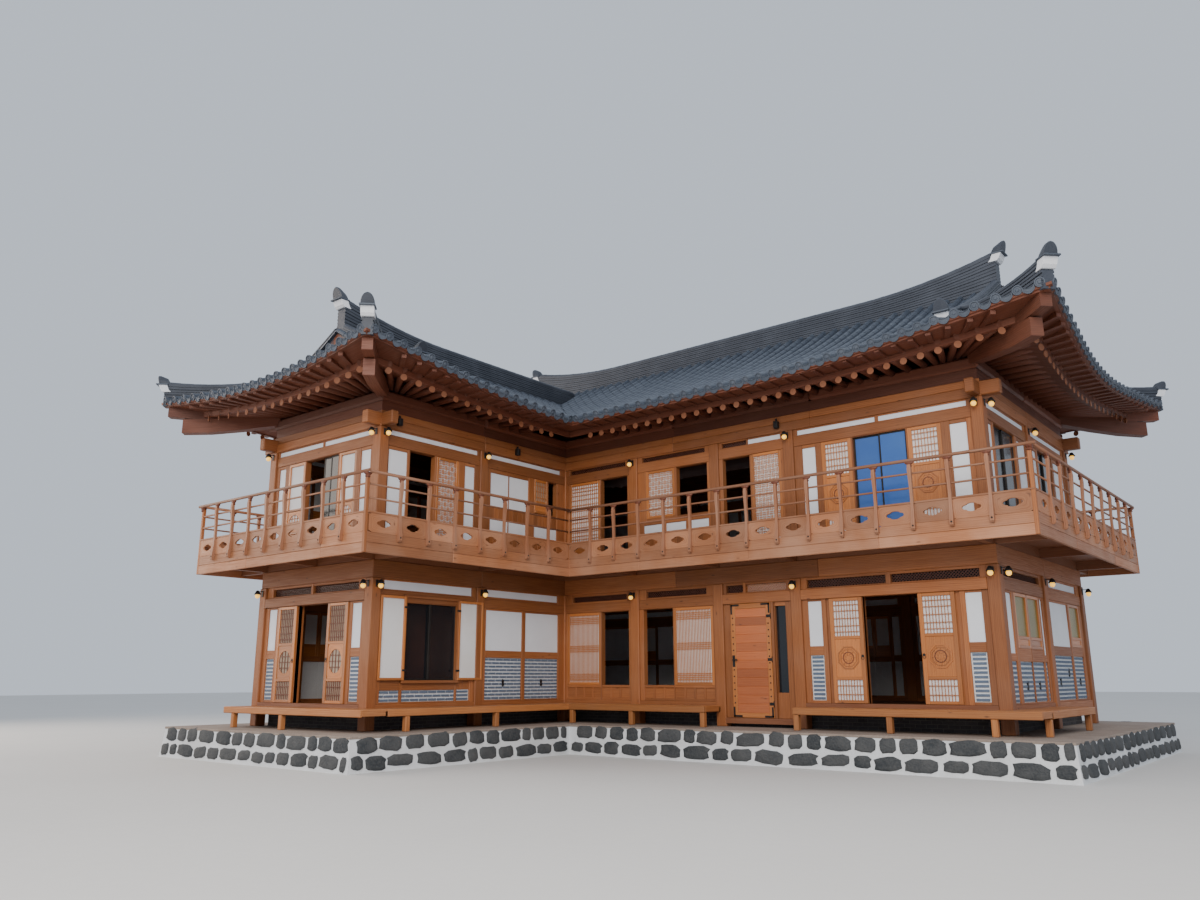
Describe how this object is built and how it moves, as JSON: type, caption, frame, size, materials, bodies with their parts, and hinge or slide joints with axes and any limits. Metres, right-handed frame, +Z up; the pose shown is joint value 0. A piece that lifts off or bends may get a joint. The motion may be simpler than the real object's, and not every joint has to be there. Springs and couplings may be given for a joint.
{
  "type": "two-storey hanok house",
  "caption": "L-shaped timber-framed house of two storeys on a stone platform, with a balcony all round, sliding doors, a hinged entrance door and hip-and-gable tiled roofs.",
  "frame": {"origin": "middle of the roof's outline in plan, at ground level", "axes": "+Z up, +X along the main wing to the right as seen from the front, +Y from the front to the back"},
  "size_m": [18.3272, 15.7772, 10.98],
  "materials": {
    "stone": "dark grey rubble in broad white mortar",
    "timber": "warm orange-brown oiled pine",
    "dark_timber": "dark red-brown boards",
    "plaster": "white plaster and thin dark bricks in a timber frame",
    "tile": "blue-grey fired clay tiles",
    "door": "light varnished wood with lattice and paper"
  },
  "bodies": {
    "house": {"stone_platform": "stone", "underfloor_wall": "dark_timber", "ground_floor": "timber", "deck_left": "timber", "deck_right": "timber", "wing_front_left_panel": "plaster", "wing_front_right_panel": "plaster", "wing_front_lintel": "timber", "hall_left_panel": "plaster", "hall_right_panel": "plaster", "hall_lintel": "timber", "front_window_wall": "plaster", "entrance_side_panel": "timber", "entrance_lintel": "timber", "wing_side_wall": "plaster", "right_side_wall": "plaster", "back_wall": "plaster", "left_side_wall": "plaster", "ground_beams": "timber", "upper_floor": "dark_timber", "upper_wing_front_wall": "plaster", "upper_wing_side_wall": "plaster", "upper_front_wall": "plaster", "upper_right_wall": "plaster", "upper_back_wall": "plaster", "upper_left_wall": "plaster", "upper_beams": "timber", "wing_front_railing": "timber", "wing_side_railing": "timber", "front_railing": "timber", "right_railing": "timber", "back_railing": "timber", "left_railing": "timber", "main_roof": "tile", "wing_roof": "tile", "main_ridge": "tile", "wing_ridge": "tile", "hip_ridge_right_front": "tile", "hip_ridge_right_back": "tile", "hip_ridge_left_back": "tile", "hip_ridge_left_front": "tile", "hip_ridge_wing_left": "tile", "hip_ridge_wing_right": "tile"},
    "wing_left_leaf": {"wing_door_left": "door"},
    "wing_right_leaf": {"wing_door_right": "door"},
    "hall_left_leaf": {"hall_door_left": "door"},
    "hall_right_leaf": {"hall_door_right": "door"},
    "entrance_leaf": {"entrance_door": "door"}
  },
  "joints": [
    {"name": "wing_left_slide", "type": "slide", "parent": "house", "child": "wing_left_leaf", "axis": [1, 0, 0], "range_m": [0, 0.56]},
    {"name": "wing_right_slide", "type": "slide", "parent": "house", "child": "wing_right_leaf", "axis": [-1, 0, 0], "range_m": [0, 0.56]},
    {"name": "hall_left_slide", "type": "slide", "parent": "house", "child": "hall_left_leaf", "axis": [1, 0, 0], "range_m": [0, 0.56]},
    {"name": "hall_right_slide", "type": "slide", "parent": "house", "child": "hall_right_leaf", "axis": [-1, 0, 0], "range_m": [0, 0.56]},
    {"name": "entrance_hinge", "type": "hinge", "parent": "house", "child": "entrance_leaf", "pos_m": [2.561, -0.106, 2.002], "axis": [0, 0, 1], "range_deg": [0, 90]}
  ]
}
